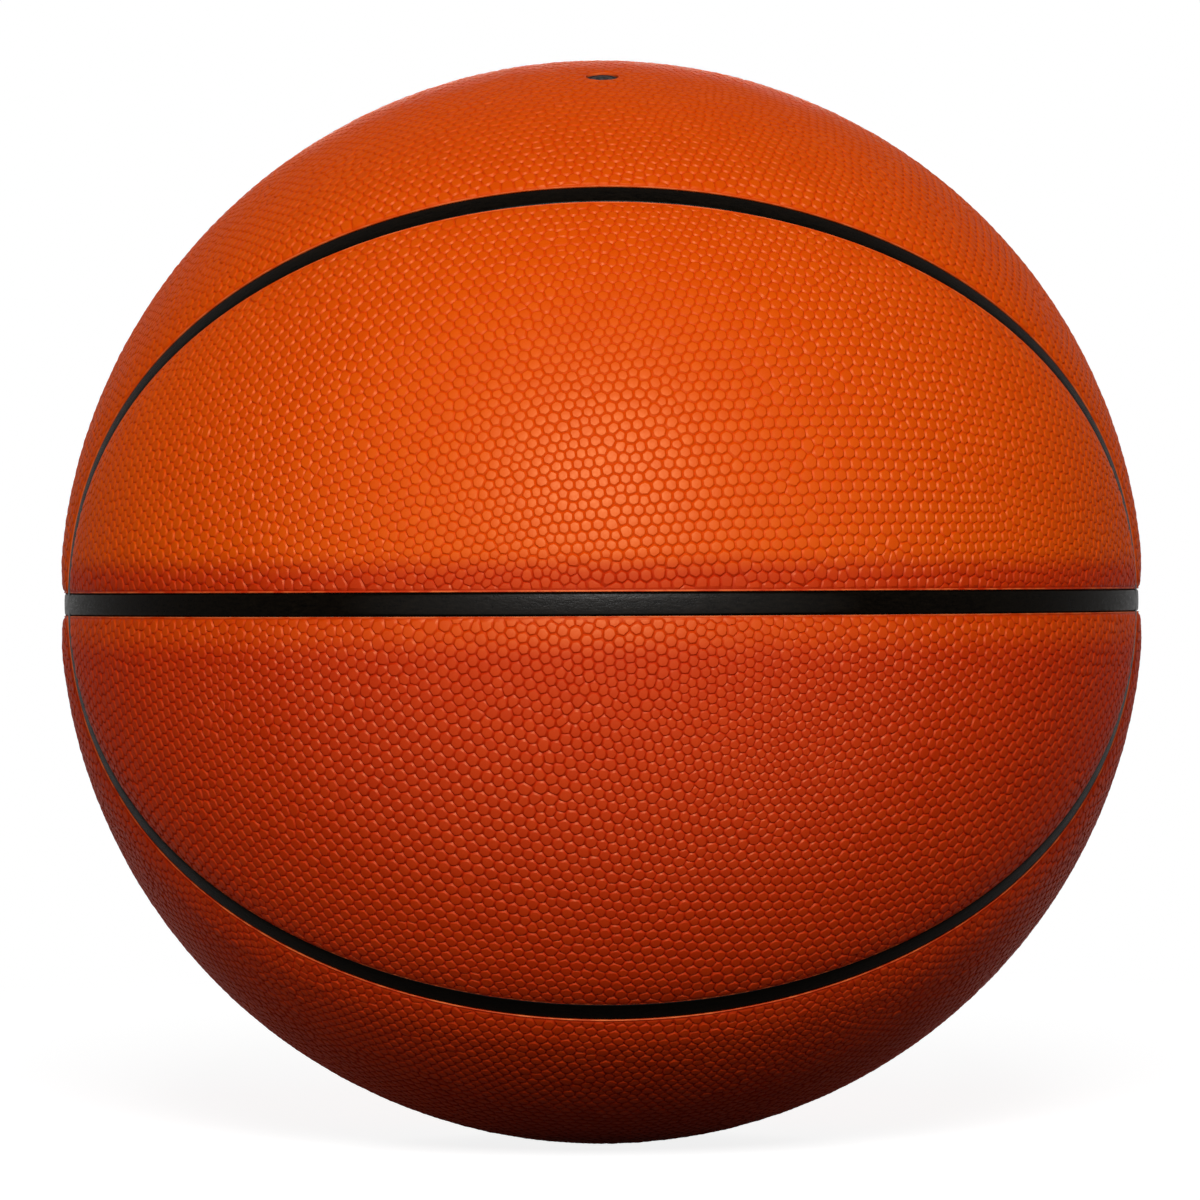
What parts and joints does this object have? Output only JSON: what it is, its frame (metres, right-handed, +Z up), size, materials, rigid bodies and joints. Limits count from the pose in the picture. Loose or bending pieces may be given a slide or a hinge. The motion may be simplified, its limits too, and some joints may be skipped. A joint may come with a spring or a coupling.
{
  "type": "basketball",
  "caption": "Full-size indoor and outdoor basketball with pebbled orange cover panels, recessed black channels, a ribbed rubber carcass, a wound bladder and a needle valve.",
  "frame": {"origin": "the ball's centre", "axes": "+Z up through the upright seam, +X right through the crossing of the two great-circle seams, -Y to the front through the middle of the front oval seam"},
  "size_m": [0.2416, 0.242, 0.2422],
  "materials": {
    "cover": "semi-gloss pebbled rubber",
    "foam": "matte sponge",
    "carcass": "satin, finely grained",
    "thread": "latex-coated thread",
    "bladder": "matte",
    "valve": "satin",
    "plug": "satin"
  },
  "bodies": {
    "root": {"cover_front_top_lobe": "cover", "cover_front_bottom_lobe": "cover", "cover_back_top_lobe": "cover", "cover_back_bottom_lobe": "cover", "cover_front_top_arch": "cover", "cover_front_bottom_arch": "cover", "cover_back_top_arch": "cover", "cover_back_bottom_arch": "cover", "pad_front_top_lobe": "foam", "pad_front_bottom_lobe": "foam", "pad_back_top_lobe": "foam", "pad_back_bottom_lobe": "foam", "pad_front_top_arch": "foam", "pad_front_bottom_arch": "foam", "pad_back_top_arch": "foam", "pad_back_bottom_arch": "foam", "carcass": "carcass", "thread_winding": "thread", "bladder": "bladder", "valve_patch": "bladder", "valve_seat": "valve", "valve_core": "plug"}
  },
  "joints": []
}
